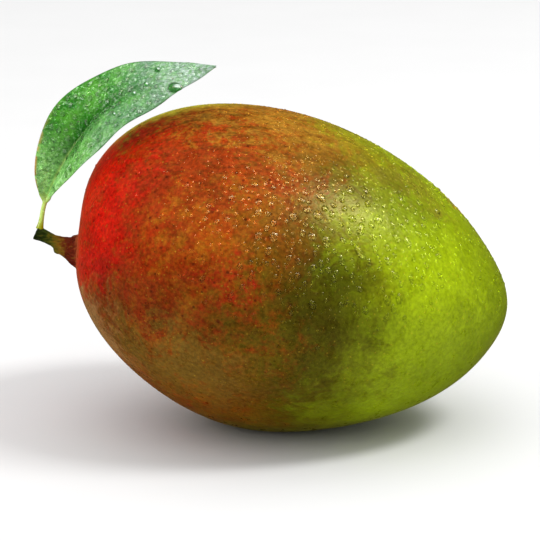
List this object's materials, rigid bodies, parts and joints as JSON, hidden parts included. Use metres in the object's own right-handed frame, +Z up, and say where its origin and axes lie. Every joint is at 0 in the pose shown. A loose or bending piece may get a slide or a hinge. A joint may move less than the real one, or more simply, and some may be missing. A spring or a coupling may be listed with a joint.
{
  "type": "mango",
  "caption": "Whole ripening mango lying on its side, tapered towards a blunt tip, with a short woody stem and a folded, arching leaf.",
  "frame": {"origin": "middle of the small flat spot that the fruit rests on", "axes": "+Z up, +X from the stem end to the fruit's tip, -Y the side that the leaf's upper face looks to"},
  "size_m": [0.1358, 0.0987, 0.1067],
  "materials": {
    "skin": "smooth waxy fruit skin, red at the stem end, orange-brown in the middle and yellow-green at the tip, with fine speckles",
    "stem_bark": "matte ridged bark, dark green-brown at the cut end and red-brown at the fruit",
    "leaf_blade": "satin waxy leaf with a pale midrib and side veins",
    "water": "clear water drops on the skin and the leaf, in the visual model only"
  },
  "bodies": {
    "root": {"mango_fruit": "skin", "stem": "stem_bark", "leaf": "leaf_blade"}
  },
  "joints": []
}
